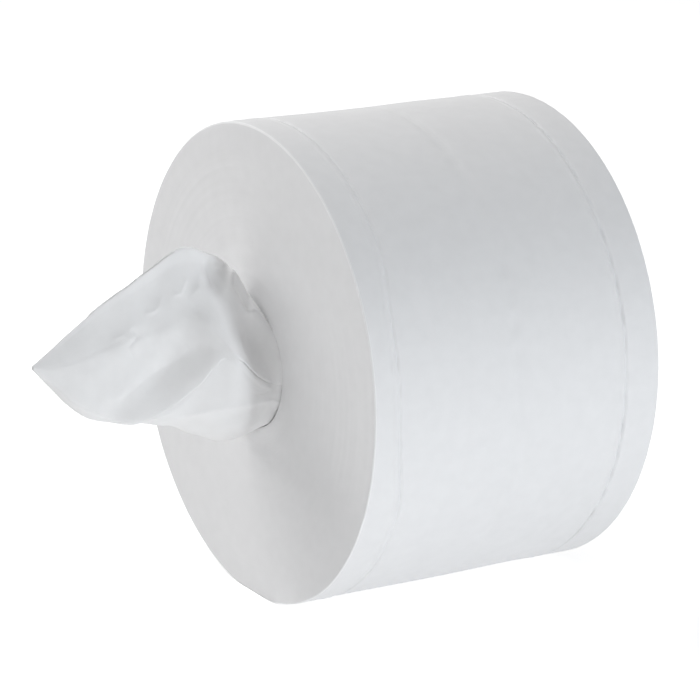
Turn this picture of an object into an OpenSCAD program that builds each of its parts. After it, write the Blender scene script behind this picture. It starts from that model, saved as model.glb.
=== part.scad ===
// Centerfeed toilet paper roll: one continuous two-ply web, wound without a core, with its inner end
// pulled out through the hole in the front face. The turns and the pulled-out tail are one piece of paper.
// Frame: the roll lies on its side, +Z is up, its axis runs along Y and the tail comes out towards -Y.
// The origin is on the axis, halfway between the two faces.

/* [Wound roll] */
// Outside diameter of the roll
roll_d = 200; // [150:1:240]
// Width of the web, which is the distance between the two faces
web_w = 134; // [110:1:180]
// Diameter of the hole that the winding mandrel leaves
bore_d = 52; // [42:1:64]
// Rounding of the roll's outer edges, where the last turns are rubbed soft
outer_edge_r = 1.2; // [0.5:0.1:3]
// Rounding of the hole's two edges
bore_edge_r = 0.8; // [0.4:0.1:2]
// Depth of the flat spot that the roll's own weight presses on its underside
flat_depth = 1.2; // [0.6:0.1:2]

/* [Edge embossing] */
// Distance of each knurled ply-bond line from the nearer face
emboss_in = 16; // [8:0.5:30]
// Width of the line
emboss_w = 4; // [2:0.5:8]
// Depth to which the line draws the last turns in
emboss_depth = 0.4; // [0.2:0.1:1]

/* [Pulled-out tail] */
// Distance that the tip stands out in front of the face
tail_out = 98; // [80:1:130]
// Height of the hood's peak above the axis
tail_rise = 54; // [46:1:64]
// Depth of the lowest fold below the axis
tail_drop = 31; // [24:1:34]
// Reach of the tail to the right of the axis, seen from the front
tail_near = 30; // [24:1:36]
// Reach of the tail to the left of the axis
tail_far = 26; // [20:1:32]
// Height of the tip above the axis
tip_lift = 12; // [0:1:20]
// Thickness of the loose two-ply paper with its fine crumple
ply_t = 0.8; // [0.6:0.1:1.2]
// Clear gap between the two layers where the tail laps over itself
lap_gap = 1.6; // [1:0.1:2.5]
// Angle round the tail through which it laps over itself at the hole
lap_angle = 50; // [20:1:70]
// Depth behind the face at which the tail leaves the innermost turn
root_depth = 22; // [15:1:35]
// Depth of the hollow in the near side, between the hood and the hole
hollow_depth = 7; // [0:0.5:9]

/* [Hidden] */

paper = "#f2f2f4";
roll_r = roll_d / 2;
bore_r = bore_d / 2;
face_y = -web_w / 2;
round_steps = 4;

// How far the root's outer layer is sunk into the wound turns: so far that both layers end inside them,
// and the tail and the turns are one solid
root_sink = 2 * ply_t + 1.3 * lap_gap + 1.2;
// Length over which the root rises out of the wall
root_run = 8;
// Clearance between the tail's neck and the wall of the hole
neck_clear = 1;

// Rows of the tail: distance in front of the face as a share of tail_out
out_steps = [0, 0.03, 0.07, 0.12, 0.18, 0.24, 0.3, 0.36, 0.43, 0.5, 0.57, 0.64, 0.71, 0.78, 0.85, 0.91,
             0.96, 1];
// Columns of the tail: steps in each quarter of the way round, from the lap's outer edge to its inner edge
quarter_steps = 11;

// Silhouette from the side. Each pair is a share of tail_out and a share of the way from the neck to
// the highest or lowest point, and after that point from there to the tip.
top_out = [[0, 0], [0.03, 0.22], [0.07, 0.52], [0.12, 0.7], [0.18, 0.84], [0.24, 0.96], [0.28, 1]];
top_in = [[0.28, 1], [0.36, 0.94], [0.5, 0.77], [0.64, 0.59], [0.78, 0.38], [0.91, 0.17], [1, 0]];
low_out = [[0, 0], [0.03, 0.6], [0.07, 1], [0.14, 1]];
low_in = [[0.14, 1], [0.24, 0.92], [0.36, 0.8], [0.5, 0.72], [0.64, 0.66], [0.75, 0.58], [0.85, 0.4],
          [0.93, 0.22], [1, 0]];
// Half widths: shares of tail_near and tail_far along the tail, from the hood to the tip
width_in = [[0.24, 1], [0.36, 0.96], [0.5, 0.8], [0.64, 0.63], [0.78, 0.44], [0.91, 0.22], [1, 0.08]];
// Angle of the lap's outer edge, from the near side (0) down towards the underside (-90)
lap_line = [[-1, -10], [0, -6], [0.15, 0], [0.27, 2], [0.36, -8], [0.45, -30], [0.57, -70], [0.64, -78],
            [1, -78]];
// Angle left open between the two edges at the tip, where they don't lap
open_angle = 8;

// Half height of the smallest section, at the tip
tip_half = 1.8;

// Value from a table of two stages, a to b and then b to c
function staged(u, turn, first, second, a, b, c) =
    u < turn ? a + (b - a) * lookup(u, first) : c + (b - c) * lookup(u, second);

neck_r = bore_r - neck_clear;
function top_z(u) = staged(u, 0.28, top_out, top_in, neck_r, tail_rise, tip_lift + tip_half);
function low_z(u) = staged(u, 0.14, low_out, low_in, -neck_r, -tail_drop, tip_lift - tip_half);
function side_x(u, reach) =
    u < 0.24 ? neck_r + (reach - neck_r) * sin(90 * u / 0.24) : reach * lookup(u, width_in);

// Sharpness of the section: 2 is an ellipse, less draws the top and the bottom into folds
function fold_power(u) = 2 - 0.5 * min(1, max(0, u) / 0.4);

// Hollow in the near side, as a share of its half width: widest between the hood and the hole
function hollow(u, angle) =
    let (along = max(0, 1 - pow((u - 0.13) / 0.15, 2)), round = max(0, 1 - pow((angle - 28) / 30, 2)))
    along * round * hollow_depth / tail_near;

// A section is [y, centre x, centre z, half width, half height, power, lap edge angle, u]
function section(u) =
    let (top = top_z(u), low = low_z(u), near = side_x(u, tail_near), far = side_x(u, tail_far))
    [face_y - u * tail_out, (near - far) / 2, (top + low) / 2, (near + far) / 2, (top - low) / 2,
     fold_power(u), lookup(u, lap_line), u];
function root_section(depth, r) = [face_y + depth, 0, 0, r, r, 2, lap_line[0][1], -1];

sections = concat(
    [root_section(root_depth + root_run, bore_r + root_sink), root_section(root_depth, neck_r)],
    [for (depth = [root_depth * 0.6, root_depth * 0.25]) root_section(depth, neck_r)],
    [for (u = out_steps) section(u)]);

// How far the lap reaches past a full turn: all of it at the hole, and a gap of open_angle at the tip
function lap_at(s) = (lap_angle + open_angle) * min(1, max(0, 1 - (s[7] - 0.3) / 0.35)) - open_angle;

// Angle at a share t of the way round. The top and bottom folds stay on columns of their own.
function angle_at(s, t) =
    let (start = s[6], end = start + 360 + lap_at(s))
    t < 0.25 ? start + (90 - start) * 4 * t :
    t < 0.75 ? 90 + 180 * (t - 0.25) * 2 :
    270 + (end - 270) * (t - 0.75) * 4;

function signed_pow(v, p) = sign(v) * pow(abs(v), p);

// Point of a section at share t of the way round, moved in by the spiral and by the depth given
function tail_point(s, t, depth) =
    let (angle = angle_at(s, t), turn = angle - s[6],
         inset = depth + (ply_t + lap_gap) * min(1, s[3] / 12) * turn / 360,
         wrapped = angle > 270 ? angle - 360 : angle,
         squeeze = 1 - hollow(s[7], wrapped), e = 2 / s[5])
    [s[1] + (s[3] - inset) * signed_pow(cos(angle), e) * squeeze, s[0],
     s[2] + (s[4] - inset) * signed_pow(sin(angle), e)];

around = 4 * quarter_steps;
rows = len(sections);
cols = around + 1;
outer_skin = [for (s = sections) for (j = [0:around]) tail_point(s, j / around, 0)];
inner_skin = [for (s = sections) for (j = [0:around]) tail_point(s, j / around, ply_t)];

function at(i, j) = i * cols + j;
function under(i, j) = rows * cols + at(i, j);
function quad(a, b, c, d) = [[a, c, b], [a, d, c]];

tail_faces = concat(
    [for (i = [0:rows - 2]) for (j = [0:cols - 2])
        each quad(at(i, j), at(i, j + 1), at(i + 1, j + 1), at(i + 1, j))],
    [for (i = [0:rows - 2]) for (j = [0:cols - 2])
        each quad(under(i, j), under(i + 1, j), under(i + 1, j + 1), under(i, j + 1))],
    [for (j = [0:cols - 2]) each quad(at(0, j), under(0, j), under(0, j + 1), at(0, j + 1))],
    [for (j = [0:cols - 2])
        each quad(at(rows - 1, j), at(rows - 1, j + 1), under(rows - 1, j + 1), under(rows - 1, j))],
    [for (i = [0:rows - 2]) each quad(at(i, 0), at(i + 1, 0), under(i + 1, 0), under(i, 0))],
    [for (i = [0:rows - 2])
        each quad(at(i, cols - 1), under(i, cols - 1), under(i + 1, cols - 1), at(i + 1, cols - 1))]);

// Rounded corner of the wound section: centre, radius and the angle at which it starts
function corner(r, h, radius, start) =
    [for (n = [0:round_steps])
        let (angle = start + 90 * n / round_steps)
        [r, h] + radius * [cos(angle), sin(angle)]];

// One ply-bond line across the outside of the section, with sloping sides
function emboss(h) =
    [for (p = [[-0.5, 0], [-0.25, 1], [0.25, 1], [0.5, 0]])
        [roll_r - p[1] * emboss_depth, h + p[0] * emboss_w]];

module wound_turns() {
    h = web_w / 2;
    outline = concat(
        corner(roll_r - outer_edge_r, -h + outer_edge_r, outer_edge_r, -90),
        emboss(-h + emboss_in),
        emboss(h - emboss_in),
        corner(roll_r - outer_edge_r, h - outer_edge_r, outer_edge_r, 0),
        corner(bore_r + bore_edge_r, h - bore_edge_r, bore_edge_r, 90),
        corner(bore_r + bore_edge_r, -h + bore_edge_r, bore_edge_r, 180));
    difference() {
        rotate([90, 0, 0])
            rotate_extrude($fn = 180)
                polygon(outline);
        translate([-roll_d, -web_w, -roll_r - roll_d + flat_depth])
            cube([2 * roll_d, 2 * web_w, roll_d]);
    }
}

module paper_roll() {
    color(paper)
        union() {
            wound_turns();
            polyhedron(points = concat(outer_skin, inner_skin), faces = tail_faces, convexity = 8);
        }
}

paper_roll();
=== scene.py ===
"""Centerfeed toilet paper roll: a wide coreless roll of white two-ply tissue, its inner end pulled out."""
import bpy
import numpy as np
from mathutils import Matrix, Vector


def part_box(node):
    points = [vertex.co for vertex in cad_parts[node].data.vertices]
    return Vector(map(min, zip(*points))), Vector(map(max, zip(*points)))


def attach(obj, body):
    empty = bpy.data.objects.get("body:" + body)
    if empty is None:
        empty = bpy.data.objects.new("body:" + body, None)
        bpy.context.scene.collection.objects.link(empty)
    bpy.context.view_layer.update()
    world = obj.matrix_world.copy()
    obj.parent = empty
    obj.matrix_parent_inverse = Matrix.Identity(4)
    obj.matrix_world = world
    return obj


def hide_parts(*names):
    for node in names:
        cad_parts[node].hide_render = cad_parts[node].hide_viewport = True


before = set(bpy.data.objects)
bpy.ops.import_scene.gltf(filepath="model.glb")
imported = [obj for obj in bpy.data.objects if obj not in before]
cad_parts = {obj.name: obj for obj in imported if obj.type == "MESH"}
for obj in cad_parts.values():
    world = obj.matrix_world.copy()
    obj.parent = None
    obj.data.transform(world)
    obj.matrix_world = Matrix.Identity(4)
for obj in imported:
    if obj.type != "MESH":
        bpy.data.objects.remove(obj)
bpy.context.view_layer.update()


# The wound turns
# One two-ply web of soft tissue, about 200 m of it, wound tight without a core on a mandrel that has been
# drawn out. The slit edges of the turns make the two flat faces, the last turn makes the side, and the
# first one makes the wall of the hole. It lies on its side and its weight flattens it a little there.
MM = 0.001
roll_low, roll_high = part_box("paper_roll")
ROLL_R = roll_high.x
FACE = roll_high.y
REST_Z = roll_low.z
HOLE_R = 26 * MM
SIDE_EDGE_R = 0.6 * MM
HOLE_EDGE_R = 0.8 * MM
EMBOSS_IN = 16 * MM
LINE_ZONE = 4 * MM
SLIP = 4.8 * MM
AROUND = 384


def waves(seed, turns, lengths, count):
    """Random waves that close on themselves round the roll. The result is a function of (angle, distance),
    the sum of count cosines, each of a whole number of turns and its own length, scaled to about one."""
    draw = np.random.default_rng(seed)
    n = draw.integers(turns[0], turns[1] + 1, count)
    k = 2 * np.pi / draw.uniform(lengths[0], lengths[1], count)
    start = draw.uniform(0, 2 * np.pi, count)

    def height_at(angle, s):
        return sum(np.cos(a * angle + b * s + c) for a, b, c in zip(n, k, start)) / np.sqrt(count)

    return height_at


def arc(centre, radius, first, last, count):
    """Points on an arc in the plane of radius and axis: the centre plus the radius times (cos, sin)."""
    a = np.radians(np.linspace(first, last, count))
    return np.stack([centre[0] + radius * np.cos(a), centre[1] + radius * np.sin(a)], 1)


def stretch(start, end, count):
    """Evenly spaced points from start towards end, without the end itself."""
    return np.array(start) + (np.array(end) - np.array(start)) * np.arange(count)[:, None] / count


def grid_faces(rows, cols, join_rows=False, join_cols=False):
    """Quads between neighbouring rows and columns of a grid whose vertices are numbered row by row."""
    i = np.arange(rows if join_rows else rows - 1)[:, None]
    j = np.arange(cols if join_cols else cols - 1)[None, :]
    i2, j2 = (i + 1) % rows, (j + 1) % cols
    corners = [i * cols + j, i2 * cols + j, i2 * cols + j2, i * cols + j2]
    shape = np.broadcast_shapes(i.shape, j.shape)
    return np.stack([np.broadcast_to(c, shape) for c in corners], -1).reshape(-1, 4)


def mesh_piece(name, points, quads):
    """A smooth-shaded mesh object at the origin from an array of points and an array of quads."""
    mesh = bpy.data.meshes.new(name)
    mesh.from_pydata(points.reshape(-1, 3), [], quads)
    mesh.polygons.foreach_set("use_smooth", np.ones(len(quads), bool))
    mesh.update()
    piece = bpy.data.objects.new(name, mesh)
    bpy.context.scene.collection.objects.link(piece)
    return piece


def surface_uv(piece, u, v):
    """Gives the mesh a UV map in metres from a u and a v for every corner of every quad."""
    layer = piece.data.uv_layers.new(name="web")
    layer.data.foreach_set("uv", np.stack([u, v], -1).astype(np.float32).ravel())


# The section through the winding: the side from front to back, with narrow steps at the embossed lines,
# the back face, the hole and the front face
side_stops = [-FACE + SIDE_EDGE_R, -FACE + EMBOSS_IN - SLIP - LINE_ZONE, -FACE + EMBOSS_IN + LINE_ZONE,
              FACE - EMBOSS_IN - LINE_ZONE, FACE - EMBOSS_IN + LINE_ZONE, FACE - SIDE_EDGE_R]
side_steps = (5, 40, 38, 28, 9)
front_steps, back_steps, hole_steps = 60, 40, 12
side_edge_dots, hole_edge_dots = 6, 5
rim_r, lip_r = ROLL_R - SIDE_EDGE_R, HOLE_R + HOLE_EDGE_R
profile = np.concatenate([
    *[stretch((ROLL_R, start), (ROLL_R, end), count)
      for start, end, count in zip(side_stops, side_stops[1:], side_steps)],
    arc((rim_r, FACE - SIDE_EDGE_R), SIDE_EDGE_R, 0, 90, side_edge_dots)[:-1],
    stretch((rim_r, FACE), (lip_r, FACE), back_steps),
    arc((lip_r, FACE - HOLE_EDGE_R), HOLE_EDGE_R, 90, 180, hole_edge_dots)[:-1],
    stretch((HOLE_R, FACE - HOLE_EDGE_R), (HOLE_R, -FACE + HOLE_EDGE_R), hole_steps),
    arc((lip_r, -FACE + HOLE_EDGE_R), HOLE_EDGE_R, 180, 270, hole_edge_dots)[:-1],
    stretch((lip_r, -FACE), (rim_r, -FACE), front_steps),
    arc((rim_r, -FACE + SIDE_EDGE_R), SIDE_EDGE_R, 270, 360, side_edge_dots)[:-1]])
r, y = (profile[:, k, None] for k in (0, 1))
angle = np.linspace(0, 2 * np.pi, AROUND, endpoint=False)[None, :]
on_side = np.clip((r - rim_r) / SIDE_EDGE_R, 0, 1)
on_face = np.clip((np.abs(y) - (FACE - HOLE_EDGE_R)) / HOLE_EDGE_R, 0, 1)

# The side: slow unevenness of the winding, and near each face the line that bonds the plies. It draws the
# last turns in by a depth that comes and goes, deeper near the back, and leaves a low ridge on the side
# towards the front. On the right the last turn has slipped, and its front line runs nearer the face there.
UNEVEN, RIPPLE = 0.16 * MM, 0.035 * MM
SLIP_AT, SLIP_SPREAD = np.radians(82), np.radians(24)
LINE_SWAY, LINE_SHAKE = 0.35 * MM, 0.12 * MM
GROOVE_BACK, GROOVE_FRONT, GROOVE_HALF = 1.05 * MM, 0.6 * MM, 0.6 * MM
RIDGE, RIDGE_AWAY, RIDGE_HALF = 0.25 * MM, 2.1 * MM, 0.8 * MM
DRAWN_IN, DRAWN_HALF = 0.12 * MM, 3 * MM
FRAY, FRAY_REACH = 0.05 * MM, 6 * MM
slow, quick_side = waves(11, (1, 5), (60 * MM, 200 * MM), 8), waves(12, (4, 22), (30 * MM, 120 * MM), 14)
line_depth, line_sway, line_shake = (
    waves(13, (3, 60), (1, 2), 20), waves(14, (2, 9), (1, 2), 6), waves(18, (20, 110), (1, 2), 16))
end = np.sign(y)
slip = np.where(end < 0, SLIP, 0) * np.exp(-((angle - SLIP_AT) / SLIP_SPREAD) ** 4)
from_line = (y - end * (FACE - EMBOSS_IN) + slip
             - LINE_SWAY * line_sway(angle, end) - LINE_SHAKE * line_shake(angle, end))
groove = np.where(end > 0, GROOVE_BACK, GROOVE_FRONT) * np.clip(1 + 0.5 * line_depth(angle, end), 0.15, 2)
ridge = RIDGE * np.clip(1 + 0.5 * line_shake(angle + 1, end), 0.2, 2)
frayed = waves(19, (6, 90), (3 * MM, 9 * MM), 24)
# The web's outer end is a straight cut edge, pasted down on the side turned away
turn_end, end_rise, end_lift = np.radians(238), np.radians(30), 0.35 * MM
loose_end = end_lift * np.clip((angle - turn_end) / end_rise + 1, 0, 1) * (angle < turn_end)
side_relief = (loose_end + UNEVEN * slow(angle, y) + RIPPLE * quick_side(angle, y)
               - groove * np.exp(-(from_line / GROOVE_HALF) ** 2)
               + ridge * np.exp(-((from_line + RIDGE_AWAY) / RIDGE_HALF) ** 2)
               - DRAWN_IN * np.exp(-(from_line / DRAWN_HALF) ** 2)
               + FRAY * frayed(angle, y) * np.exp(-((FACE - np.abs(y)) / FRAY_REACH) ** 2))

# The faces: the slit edges of the turns stand a little uneven, in rings that aren't quite round, and
# lie even at the hole
RING_SWAY, COARSE, FINE, EVEN_AT_HOLE = 0.5 * MM, 0.06 * MM, 0.03 * MM, 2 * MM
ring_wobble = waves(15, (1, 4), (40 * MM, 90 * MM), 5)
rings_coarse, rings_fine = waves(16, (0, 0), (7 * MM, 26 * MM), 9), waves(17, (0, 1), (2.4 * MM, 5 * MM), 10)
ring_r = r + RING_SWAY * ring_wobble(angle, r)
face_relief = COARSE * rings_coarse(angle, ring_r) + FINE * rings_fine(angle, ring_r)

radius = r + on_side * side_relief
height = y + on_face * end * face_relief * np.clip((r - HOLE_R) / EVEN_AT_HOLE, 0, 1)
body_points = np.stack([radius * np.sin(angle), height, radius * np.cos(angle)], -1)
# The flat spot that the roll lies on
body_points[..., 2] = np.maximum(body_points[..., 2], REST_Z)
body_quads = grid_faces(len(profile), AROUND, True, True)[:, ::-1]
wound_turns = mesh_piece("wound_turns", body_points, body_quads)

# The UV map unrolls it: u round the roll and v along the section, corner by corner as body_quads has them
step_len = np.linalg.norm(np.roll(profile, -1, 0) - profile, axis=1)
along = np.concatenate([[0], np.cumsum(step_len)])
row, col = np.indices((len(profile), AROUND))
corner_cols = np.stack([col + 1, col + 1, col, col], -1)
corner_rows = np.stack([row, row + 1, row + 1, row], -1)
surface_uv(wound_turns, corner_cols * (2 * np.pi * ROLL_R / AROUND), along[corner_rows])


def tissue(name, colour, relief, glow=0.0):
    """A matt white paper material. relief(nodes, links, position) adds what shapes the bump and returns the
    height's socket; the colour varies by a fortieth with a slow noise, as pulp does."""
    mat = bpy.data.materials.new(name)
    mat.use_nodes = True
    nodes, links = mat.node_tree.nodes, mat.node_tree.links
    bsdf = nodes["Principled BSDF"]
    bsdf.inputs["Roughness"].default_value = 0.92
    bsdf.inputs["Specular IOR Level"].default_value = 0.18
    bsdf.inputs["Sheen Weight"].default_value = 0.08
    bsdf.inputs["Sheen Roughness"].default_value = 0.5
    bsdf.inputs["Subsurface Weight"].default_value = glow
    bsdf.inputs["Subsurface Radius"].default_value = (1.0, 1.0, 1.0)
    bsdf.inputs["Subsurface Scale"].default_value = 0.6 * MM
    place = nodes.new("ShaderNodeTexCoord")
    cloud = nodes.new("ShaderNodeTexNoise")
    cloud.inputs["Scale"].default_value = 160
    cloud.inputs["Detail"].default_value = 4
    links.new(place.outputs["Object"], cloud.inputs["Vector"])
    ramp = nodes.new("ShaderNodeValToRGB")
    ramp.color_ramp.elements[0].position = 0.3
    ramp.color_ramp.elements[0].color = (*(0.975 * c for c in colour), 1)
    ramp.color_ramp.elements[1].position = 0.7
    ramp.color_ramp.elements[1].color = (*colour, 1)
    links.new(cloud.outputs["Fac"], ramp.inputs["Fac"])
    links.new(ramp.outputs["Color"], bsdf.inputs["Base Color"])
    bump = nodes.new("ShaderNodeBump")
    bump.inputs["Distance"].default_value = 0.1 * MM
    bump.inputs["Strength"].default_value = 0.5
    links.new(relief(nodes, links, place), bump.inputs["Height"])
    links.new(bump.outputs["Normal"], bsdf.inputs["Normal"])
    return mat


def fibre_relief(nodes, links, place):
    """Height of loose paper: a fine noise of fibres about half a millimetre across."""
    noise = nodes.new("ShaderNodeTexNoise")
    noise.inputs["Scale"].default_value = 1500
    noise.inputs["Detail"].default_value = 3
    links.new(place.outputs["Object"], noise.inputs["Vector"])
    return noise.outputs["Fac"]


def ring_relief(nodes, links, place):
    """Height of a face: a noise that depends almost only on the distance from the axis, so it makes rings."""
    split = nodes.new("ShaderNodeSeparateXYZ")
    links.new(place.outputs["Object"], split.inputs["Vector"])
    flat = nodes.new("ShaderNodeCombineXYZ")
    links.new(split.outputs["X"], flat.inputs["X"])
    links.new(split.outputs["Z"], flat.inputs["Y"])
    far = nodes.new("ShaderNodeVectorMath")
    far.operation = "LENGTH"
    links.new(flat.outputs["Vector"], far.inputs["Vector"])
    line = nodes.new("ShaderNodeCombineXYZ")
    links.new(far.outputs["Value"], line.inputs["X"])
    rings = nodes.new("ShaderNodeTexNoise")
    rings.inputs["Scale"].default_value = 900
    rings.inputs["Detail"].default_value = 5
    rings.inputs["Roughness"].default_value = 0.7
    links.new(line.outputs["Vector"], rings.inputs["Vector"])
    return rings.outputs["Fac"]


# Paper on the side and in the hole, slit edges on the faces, and on the narrow rounded rim between side and
# face a lighter paper: painted light that brightens the edge the lamps leave dark
PAPER, RIM_PAINTED_LIGHT = (0.855, 0.855, 0.861), (0.95, 0.95, 0.955)
wound_turns.data.materials.append(tissue("tissue_side", PAPER, fibre_relief))
wound_turns.data.materials.append(tissue("tissue_edges", PAPER, ring_relief))
wound_turns.data.materials.append(tissue("tissue_rim_painted_light", RIM_PAINTED_LIGHT, fibre_relief))
facing_out = on_face[:, 0] > 0.5
rim_reach = 1.01 * SIDE_EDGE_R
# The rows of the rounded rim, which get the lighter colour of painted light
in_painted_rim = (profile[:, 0] > ROLL_R - rim_reach) & (np.abs(profile[:, 1]) > FACE - rim_reach)
both_out, both_painted_rim = (rows & np.roll(rows, -1) for rows in (facing_out, in_painted_rim))
kind = np.where(both_painted_rim, 2, np.where(both_out, 1, 0))
wound_turns.data.polygons.foreach_set("material_index", np.repeat(kind, AROUND).astype(np.int32))
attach(wound_turns, "root")
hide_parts("paper_roll")


# The pulled-out tail
# The inner end of the same web. It leaves the first turn behind the face, comes out of the hole twisted
# into a loose cone that laps over itself on the near side, and is pinched to a point by the fingers
# that drew it out. It is two plies of soft tissue, held by nothing but its own folds.

# Sections of the tail: distance in front of the face, then points (x, z) of the section, in millimetres.
# Eleven run down the near side: 0 the top fold, 2 the fold behind the peak, 5 the ridge from the peak to
# the hole, 6 the valley before the free edge, 7 the free edge of the lap, 8 the pleat under it, 10 the
# bottom fold. Six come back up the far side.
SECTIONS = [
    (4, [(-1, 34.5), (8, 31), (15, 26.3), (18, 18), (19.6, 8.5), (24.6, -1.4), (25.6, -4.2), (25.4, -7.2),
         (24.2, -10.8), (18, -20.4), (-1, -29.6)],
        [(-10, -27.5), (-18.5, -17), (-23, -5), (-21.5, 8), (-16, 20), (-9.5, 29.5)]),
    (10, [(0, 43.2), (5.5, 37.5), (10.2, 30.5), (13.2, 23), (17.5, 12), (25.8, 1.8), (26.6, -2), (26.6, -5.5),
          (25.4, -9.2), (19, -20.6), (0, -30.9)],
         [(-10, -28.5), (-19, -18.5), (-24, -6), (-22, 9), (-16, 23), (-8.5, 35)]),
    (16, [(1.5, 47.6), (2.5, 42.5), (7, 36.6), (12.6, 29), (18.8, 18.2), (26.5, 7.6), (27.6, 3.5), (28, -1),
          (26.8, -8.7), (20.4, -20.4), (1, -30.3)],
         [(-9.5, -28), (-19, -18.5), (-24.5, -6), (-23, 9), (-16.5, 24), (-8, 37.5)]),
    (22, [(3.2, 50.6), (2.4, 45), (5.4, 39), (12, 33), (18, 25.4), (26, 14.6), (27, 10.5), (27, 6.5),
          (24.4, -9.2), (17.4, -20.4), (3, -28)],
         [(-8, -26.5), (-18, -18), (-24.5, -6), (-23.5, 9), (-17, 25), (-7.5, 40)]),
    (27, [(4, 53.3), (5.2, 47), (6.5, 41), (10.2, 36), (14.6, 29.6), (20, 22.6), (22.4, 16.2), (24.6, 9.5),
          (21.2, -9.8), (14, -19.2), (4, -25.3)],
         [(-6.5, -24.5), (-17, -17), (-23.5, -5.5), (-23, 9), (-17, 25.5), (-7, 41.5)]),
    (34, [(4, 54.3), (5.4, 48), (7, 42), (8.6, 37), (10.8, 31.8), (13.8, 25.6), (16.2, 15), (20, 1.3),
          (17, -11.2), (11, -17.5), (4, -21.9)],
         [(-5, -21.5), (-14.5, -15), (-21, -5), (-21, 9), (-15.5, 26), (-6.5, 41.5)]),
    (46, [(4, 48.6), (4.8, 42.5), (5.8, 36.5), (7.4, 30.5), (9, 25), (10, 19.5), (9.2, 5.8), (13.8, -9.2),
          (12.5, -13.6), (8.5, -17), (4, -18.2)],
         [(-3, -18), (-11, -12.5), (-16.5, -4), (-16.5, 8), (-12.5, 21), (-5, 36)]),
    (58, [(4, 41.6), (4.6, 37), (5.4, 32.3), (6.6, 27.5), (7.9, 22.5), (8.9, 16.5), (7.8, -1.3), (8.8, -12.9),
          (7, -15), (4.5, -16.1), (2, -16.6)],
         [(-2, -15.8), (-8.5, -11), (-13, -3), (-13, 7), (-9.5, 18.5), (-3.5, 31)]),
    (70, [(2.5, 34.2), (3.2, 30.5), (3.9, 26.8), (4.9, 23), (6.1, 18.5), (7, 13), (6.4, -6.5), (5.6, -10.2),
          (4.4, -12), (3, -13.1), (1.4, -13.5)],
         [(-2, -12.6), (-6.5, -9), (-9, -2), (-9, 6), (-7, 15.5), (-3, 25.5)]),
    (82, [(1, 25.2), (1.9, 22.8), (2.7, 20.3), (3.6, 17.7), (4.6, 14.6), (5.3, 10.5), (5.1, -1.4),
          (4.1, -3.7), (2.9, -5), (1.7, -5.7), (0.6, -6.1)],
         [(-1.5, -5), (-3.6, -2), (-5, 3), (-5, 8), (-3.8, 13.5), (-1.8, 20)]),
    (91, [(0.5, 18), (1, 16.8), (1.4, 15.6), (1.9, 14.2), (2.4, 12.6), (2.7, 10.6), (2.5, 6.9), (1.9, 5.6),
          (1.3, 4.8), (0.6, 4.2), (0, 3.9)],
         [(-0.8, 4.6), (-1.6, 6), (-2.1, 8), (-2.1, 10.5), (-1.6, 13.2), (-0.6, 16.2)]),
    (98, [(0, 12.9), (0.1, 12.8), (0.2, 12.7), (0.25, 12.6), (0.3, 12.5), (0.3, 12.4), (0.25, 12.3),
          (0.2, 12.2), (0.15, 12.1), (0.1, 12), (0, 12)],
         [(-0.1, 12.1), (-0.2, 12.2), (-0.25, 12.3), (-0.25, 12.5), (-0.2, 12.7), (-0.1, 12.8)])]
# Behind the face the tail is a round neck: distance in front of the face and radius, and the angles
# at which the same points stand on it
NECK = [(-34, 27.5), (-24, 26), (-14, 25.6), (-6, 25.6), (0, 26.2)]
NECK_ANGLES = [90, 72, 54, 36, 15, -5, -13, -20, -28, -58, -90, -115, -141, -167, -193, -219, -245]
# Where the lap's free edge lies, in section points counted down from the top fold
LAP_EDGE = [(-34, 5), (18, 5), (22, 5.3), (25.5, 6.7), (28, 7), (46, 7), (54, 7.1), (60, 7.8), (66, 9),
            (72, 9.9), (98, 9.9)]
# How many section points the inner edge reaches up under the outer layer
LAP_REACH = [(-34, 2.2), (35, 2.2), (50, 1.5), (62, 0.6), (70, -0.15), (84, -0.35), (98, -0.35)]
LAYER_GAP = 0.9
HIDDEN_ROWS, SEEN_ROWS, UP_COLS, FAR_COLS, UNDER_COLS = 8, 172, 100, 50, 84
SEEN_FROM = -3
# The bottom fold's place among the section points, and how many points there are
BOTTOM = 10
KNOTS = len(NECK_ANGLES)
# Over how many section points the near and the far side's creases fade in at the top and bottom folds
FOLD_FADE, FAR_FADE = 0.4, 1.2
# The section's full width, in millimetres, and the smallest share that the slim tip keeps of the creases
FULL_WIDTH, SLIMMEST = 20, 0.04


def hermite(a, b, slope_a, slope_b, t):
    """Cubic between values a and b with the given slopes at its ends, t running from 0 to 1."""
    return ((2 * t ** 3 - 3 * t ** 2 + 1) * a + (t ** 3 - 2 * t ** 2 + t) * slope_a
            + (3 * t ** 2 - 2 * t ** 3) * b + (t ** 3 - t ** 2) * slope_b)


def spline(at, values, where):
    """Smooth curve through values at rising places: cubics with the slopes of the neighbours' chords."""
    at, values = np.asarray(at, float), np.asarray(values, float)
    slope = np.gradient(values, at, axis=0)
    i = np.clip(np.searchsorted(at, where, side="right") - 1, 0, len(at) - 2)
    span = at[i + 1] - at[i]
    shape = (-1,) + (1,) * (values.ndim - 1)
    t, span = ((where - at[i]) / span).reshape(shape), span.reshape(shape)
    return hermite(values[i], values[i + 1], slope[i] * span, slope[i + 1] * span, t)


neck_turn = np.radians(NECK_ANGLES)
stations = [k for k, _ in NECK] + [k for k, _, _ in SECTIONS]
sections = np.array([np.stack([rad * np.cos(neck_turn), rad * np.sin(neck_turn)], 1) for _, rad in NECK]
                    + [near + far for _, near, far in SECTIONS])
k_row = np.concatenate([np.linspace(stations[0], SEEN_FROM, HIDDEN_ROWS, endpoint=False),
                        np.linspace(SEEN_FROM, stations[-1], SEEN_ROWS)])
TAIL_ROWS = len(k_row)
rings_mm = spline(stations, sections, k_row)
edge_knot = np.interp(k_row, *zip(*LAP_EDGE))
inner_knot = edge_knot - np.interp(k_row, *zip(*LAP_REACH))

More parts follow.
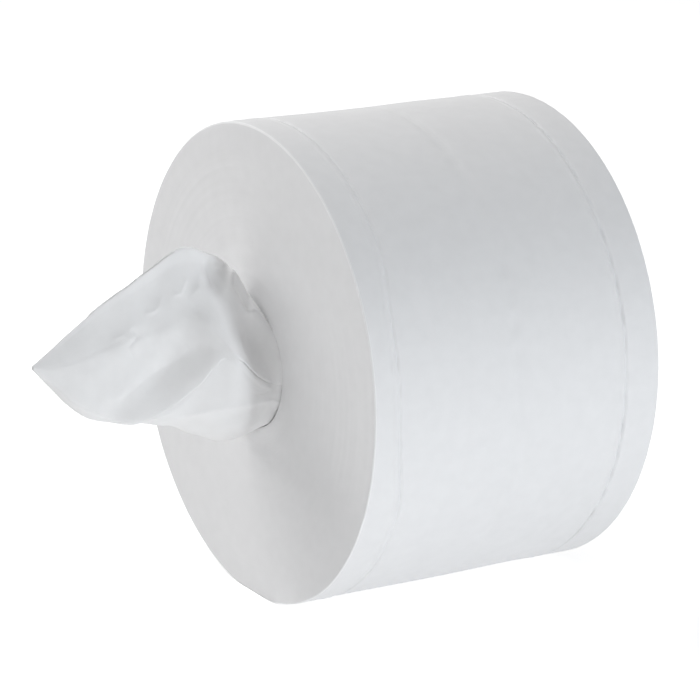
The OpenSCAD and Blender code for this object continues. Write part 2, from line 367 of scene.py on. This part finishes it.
# Columns: up the near side from the lap's free edge to the top fold, down the far side to the bottom
# fold, and up the near side again under the outer layer
up = edge_knot[:, None] * (1 - np.arange(UP_COLS) / UP_COLS)
far = KNOTS - (KNOTS - BOTTOM) * np.arange(FAR_COLS) / FAR_COLS + 0 * up[:, :1]
under = BOTTOM + (inner_knot[:, None] - BOTTOM) * np.arange(UNDER_COLS + 1) / UNDER_COLS
knot = np.concatenate([up, far, under], 1)
travelled = np.concatenate([edge_knot[:, None] - up, edge_knot[:, None] + KNOTS - far,
                            edge_knot[:, None] + KNOTS - under], 1) / KNOTS
on_near = np.concatenate([np.clip(up / FOLD_FADE, 0, 1), 0 * far,
                          np.clip((BOTTOM - under) / FOLD_FADE, 0, 1)], 1)
on_far = np.concatenate([0 * up, np.clip(np.minimum(far - BOTTOM, KNOTS - far) / FAR_FADE, 0, 1),
                         0 * under], 1)

row_number = np.arange(TAIL_ROWS)[:, None]
base = np.floor(knot).astype(int)
part = (knot - base)[..., None]
before, here, after, beyond = (rings_mm[row_number, (base + n) % KNOTS] for n in (-1, 0, 1, 2))
flat = hermite(here, after, (after - before) / 2, (beyond - here) / 2, part)
ahead = hermite(here, after, (after - before) / 2, (beyond - here) / 2, part + 1e-3)
run = ahead - flat
outward = np.stack([-run[..., 1], run[..., 0]], -1)
outward /= np.linalg.norm(outward, axis=-1, keepdims=True) + 1e-9
slim = np.clip(np.ptp(rings_mm[..., 0], axis=1) / FULL_WIDTH, SLIMMEST, 1)[:, None]

# The folds and creases of the near side, drawn on the side view: each is a line of points (distance in
# front of the face, height), the height of its edge, which is a depth where it is less than 0, and how
# far its slopes reach on either side of the line
k_here = k_row[:, None] + 0 * knot
side_view = np.stack([k_here, flat[..., 1]], -1)


def crease(points, height, reach, fade=5.0):
    """Height times exp(-d / reach), d being the distance from a line of points in the side view. The reach
    is one number or one for each side of the line, and the height fades in over its ends."""
    points = np.asarray(points, float)
    reach_left, reach_right = reach if isinstance(reach, tuple) else (reach, reach)
    lengths = np.linalg.norm(np.diff(points, axis=0), axis=1)
    nearest, side, place, gone = np.full(k_here.shape, 1e9), 0 * k_here, 0 * k_here, 0.0
    for start, end, length in zip(points[:-1], points[1:], lengths):
        away = side_view - start
        heading = (end - start) / length
        t = np.clip(away @ heading, 0, length)
        d = np.linalg.norm(away - t[..., None] * heading, axis=-1)
        closer = d < nearest
        cross = heading[0] * away[..., 1] - heading[1] * away[..., 0]
        nearest, side = np.where(closer, d, nearest), np.where(closer, np.sign(cross), side)
        place = np.where(closer, gone + t, place)
        gone += length
    ends = np.clip(np.minimum(place, gone - place) / min(fade, gone / 2), 0, 1)
    ends = np.maximum(ends, 0) ** 0.8 * np.where((place <= 0) | (place >= gone), 0, 1)
    return height * ends * np.exp(-nearest / np.where(side > 0, reach_left, reach_right))


def hollow(k0, z0, reach_k, reach_z, depth):
    """A soft dent: minus the depth times exp(-d * d), d being the distance from (k0, z0) in reaches."""
    return -depth * np.exp(-((k_here - k0) / reach_k) ** 2 - ((side_view[..., 1] - z0) / reach_z) ** 2)


folds = (
    hollow(20.6, 42, 2.8, 5.4, 2.4) + hollow(9, 13, 5.5, 9.0, 1.8)
    + crease([(31.5, 29), (28, 22.5), (25, 18), (20.7, 12.4), (14.2, 5.6), (8, 1), (1, -2.5)], 0.9, (1.6, 3))
    + crease([(23.5, 53), (25.5, 47), (26.6, 43), (28.6, 38), (33, 34.5)], 1.2, (2.5, 5))
    + crease([(10, 43), (13.5, 35), (11.5, 29.5), (9.5, 26), (5, 27)], 3.2, (2.4, 3), 3)
    + crease([(78, -9), (63.5, -5), (52.8, 2.6), (43, 8), (36, 13.5), (30, 20)], -0.8, (5, 3))
    + crease([(1, -8), (5.5, -8.5), (16, -8.2), (27, -10), (38, -13)], 1.0, (2.5, 2))
    + crease([(2, -6), (6, -12), (10, -19)], -0.5, 1.8)
    + crease([(1, -3), (8, -5), (15, -4)], -0.4, 1.8)
    + crease([(40, 36), (36.5, 36.6), (33.8, 40.5), (33, 43)], 0.6, (0.9, 1.5), 2)
    + crease([(52, 30), (48, 30.2), (45.5, 32), (44, 36)], 0.55, (0.9, 1.6), 2)
    + crease([(58, 25), (55.5, 21.5), (60, 17.5), (57, 13)], -0.6, (1.5, 0.9), 2)
    + crease([(66, 21), (61.5, 22.5), (58, 20)], 0.4, 1.1, 2)
    + crease([(84, 9.5), (76, 8), (68, 9)], 0.4, 1.5, 3))

# The far side is drawn into three long soft folds that fan from the pinched end to the hole
far_folds = (
    crease([(90, 9), (62, 15), (34, 25), (6, 22)], 1.5, (3, 4))
    + crease([(84, 5), (52, 5), (24, 8), (4, 4)], -1.2, (4, 3))
    + crease([(62, -3), (36, -9), (10, -13)], 1.2, (2.5, 3.5))
    + crease([(40, 36), (24, 30), (10, 31)], -0.8, 2.5))

# Fine crumple: short shallow creases at any place and in any direction, and a slow billow
SMALL_CREASES, BILLOWS, BILLOW = 46, 14, 0.09
crumple = np.zeros_like(k_here)
draw = np.random.default_rng(23)
for _ in range(SMALL_CREASES):
    k0, z0 = draw.uniform(4, 84), draw.uniform(-22, 46)
    heading, length = draw.uniform(0, np.pi), draw.uniform(5, 13)
    half = 0.5 * length * np.array([np.cos(heading), np.sin(heading)])
    bend = draw.uniform(-1.5, 1.5, 2)
    rise = draw.choice([-1, 1]) * draw.uniform(0.05, 0.16)
    reach = draw.uniform(1.2, 3.0)
    crumple += crease([(k0, z0) - half, (k0, z0) + bend, (k0, z0) + half], rise, reach, 3.0)
billow = np.zeros_like(k_here)
for _ in range(BILLOWS):
    wave = 2 * np.pi / draw.uniform(9, 30)
    heading, start = draw.uniform(0, np.pi), draw.uniform(0, 2 * np.pi)
    across = np.cos(heading) * k_here + np.sin(heading) * side_view[..., 1]
    billow += BILLOW * np.cos(wave * across + start)
# They start a little behind the face and have their full height a little in front of it
CREASED_FROM, CREASED_OVER = -1, 6
out_of_hole = np.clip((k_here - CREASED_FROM) / CREASED_OVER, 0, 1)
lift_off = (on_near * (folds + crumple) + on_far * (far_folds + crumple) + billow) * out_of_hole * slim

inset = LAYER_GAP * travelled * slim
flat = flat + outward * (lift_off - inset)[..., None]
tail_mm = np.stack([flat[..., 0], -FACE / MM - k_here, flat[..., 1]], -1)

tail_quads = grid_faces(TAIL_ROWS, knot.shape[1])
pulled_tail = mesh_piece("pulled_tail", tail_mm * MM, tail_quads)
# The pinched folds keep a sharp edge, so the paper on either side of them is shaded by itself
SHARP_FROM = 33
fold_cols = np.array([UP_COLS, UP_COLS + FAR_COLS])
first_sharp = np.searchsorted(k_row, SHARP_FROM)
ends = np.empty(2 * len(pulled_tail.data.edges), np.int32)
pulled_tail.data.edges.foreach_get("vertices", ends)
edge_rows, edge_cols = np.divmod(ends.reshape(-1, 2), knot.shape[1])
sharp = ((edge_cols[:, 0] == edge_cols[:, 1]) & np.isin(edge_cols[:, 0], fold_cols)
         & (edge_rows.min(1) >= first_sharp))
pulled_tail.data.edges.foreach_set("use_edge_sharp", sharp)

# The tail is the same paper as the roll, given a lighter colour: painted light standing in for light that
# comes through its thin plies
LOOSE_PAPER_PAINTED_LIGHT, LOOSE_GLOW, TWO_PLIES = (0.925, 0.925, 0.927), 0.2, 0.35 * MM
pulled_tail.data.materials.append(tissue("tissue_loose_painted_light", LOOSE_PAPER_PAINTED_LIGHT, fibre_relief, LOOSE_GLOW))
thick = pulled_tail.modifiers.new("two_plies", "SOLIDIFY")
thick.thickness = TWO_PLIES
thick.offset = -1
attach(pulled_tail, "root")
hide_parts("paper_roll")


# The camera and the studio
# The photograph's viewing angle, found from the outlines of both faces, with the roll on a white table
# in a white room under large soft lamps.
AZIMUTH, ELEVATION = 59.58, 15.36
CAMERA_AWAY = 1.3153
LENS = 160.39
AIM = Vector((-7.88, -15.0, -2.9)) * MM
a, e = np.radians(AZIMUTH), np.radians(ELEVATION)
back = Vector((np.sin(a) * np.cos(e), -np.cos(a) * np.cos(e), np.sin(e)))
camera = bpy.data.objects.new("camera", bpy.data.cameras.new("camera"))
camera.data.lens = LENS
camera.data.sensor_width = 36
camera.data.clip_start = 0.05
camera.data.clip_end = 50
camera.location = AIM + back * CAMERA_AWAY
camera.rotation_mode = "QUATERNION"
camera.rotation_quaternion = (-back).to_track_quat("-Z", "Y")
bpy.context.scene.collection.objects.link(camera)
bpy.context.scene.camera = camera

# The table: white, a little brighter to the eye than its lamps make it, so that it ends white and keeps
# the roll's soft shadow
TABLE_HALF, TABLE_WHITE, TABLE_LIFT = 6.0, 0.9, 0.58
table_points = np.array([(-1, -1), (1, -1), (1, 1), (-1, 1)]) * TABLE_HALF
table_points = np.concatenate([table_points, np.full((4, 1), REST_Z)], 1)
table = mesh_piece("table", table_points, np.array([[0, 1, 2, 3]]))


def seen_directly(nodes, links):
    """A socket that is 1 for what the camera sees, also in a mirror or through glass, and 0 for lighting."""
    path = nodes.new("ShaderNodeLightPath")
    total = path.outputs["Is Camera Ray"]
    for kind in ("Is Glossy Ray", "Is Transmission Ray"):
        add = nodes.new("ShaderNodeMath")
        add.operation = "ADD"
        links.new(total, add.inputs[0])
        links.new(path.outputs[kind], add.inputs[1])
        total = add.outputs["Value"]
    return total


white = bpy.data.materials.new("table_white")
white.use_nodes = True
nodes, links = white.node_tree.nodes, white.node_tree.links
nodes.remove(nodes["Principled BSDF"])
matt = nodes.new("ShaderNodeBsdfDiffuse")
matt.inputs["Color"].default_value = (TABLE_WHITE, TABLE_WHITE, TABLE_WHITE, 1)
lift_light = nodes.new("ShaderNodeEmission")
brighter = nodes.new("ShaderNodeMath")
brighter.operation = "MULTIPLY"
brighter.inputs[1].default_value = TABLE_LIFT
links.new(seen_directly(nodes, links), brighter.inputs[0])
links.new(brighter.outputs["Value"], lift_light.inputs["Strength"])
both = nodes.new("ShaderNodeAddShader")
links.new(matt.outputs["BSDF"], both.inputs[0])
links.new(lift_light.outputs["Emission"], both.inputs[1])
links.new(both.outputs["Shader"], nodes["Material Output"].inputs["Surface"])
table.data.materials.append(white)

# The room: white where it is seen, softer where it lights
ROOM_LIGHT = 0.312
world = bpy.data.worlds.new("room")
bpy.context.scene.world = world
world.use_nodes = True
nodes, links = world.node_tree.nodes, world.node_tree.links
strength = nodes.new("ShaderNodeMapRange")
strength.inputs["To Min"].default_value = ROOM_LIGHT
strength.inputs["To Max"].default_value = 1.0
links.new(seen_directly(nodes, links), strength.inputs["Value"])
links.new(strength.outputs["Result"], nodes["Background"].inputs["Strength"])
nodes["Background"].inputs["Color"].default_value = (1, 1, 1, 1)


def soft_lamp(name, place, aim, size, power, colour=(1, 1, 1)):
    """A soft rectangular lamp of that size at a place, turned towards a point. The camera doesn't see it."""
    lamp = bpy.data.objects.new(name, bpy.data.lights.new(name, "AREA"))
    lamp.data.shape = "RECTANGLE"
    lamp.data.size, lamp.data.size_y = size
    lamp.data.energy = power
    lamp.data.color = colour
    lamp.location = place
    lamp.rotation_mode = "QUATERNION"
    lamp.rotation_quaternion = (Vector(aim) - Vector(place)).to_track_quat("-Z", "Y")
    lamp.visible_camera = False
    bpy.context.scene.collection.objects.link(lamp)


# Two large lamps on the left, a light table beside and behind the roll, a small cool lamp low on the right
# and a weak one low in front, on the tail's near side
soft_lamp("lamp_left", (-0.80, -0.28, 1.23), (0, 0, 0), (0.7, 0.7), 11.9)
soft_lamp("lamp_front_left", (-0.77, -0.77, 0.51), (0, 0, 0), (0.5, 0.5), 2.5)
soft_lamp("light_table", (0.42, 0.3, REST_Z + 0.5 * MM), (0.42, 0.3, 1), (0.8, 0.8), 0.48)
soft_lamp("lamp_right", (0.88, 0.11, 0.05), (0, 0, 0), (0.09, 0.16), 2.25, (0.89, 0.945, 1))
soft_lamp("lamp_front", (0.3, -0.40, 0.02), (0, -0.1, 0), (0.25, 0.15), 0.11)

bpy.context.scene.view_settings.view_transform = "Standard"
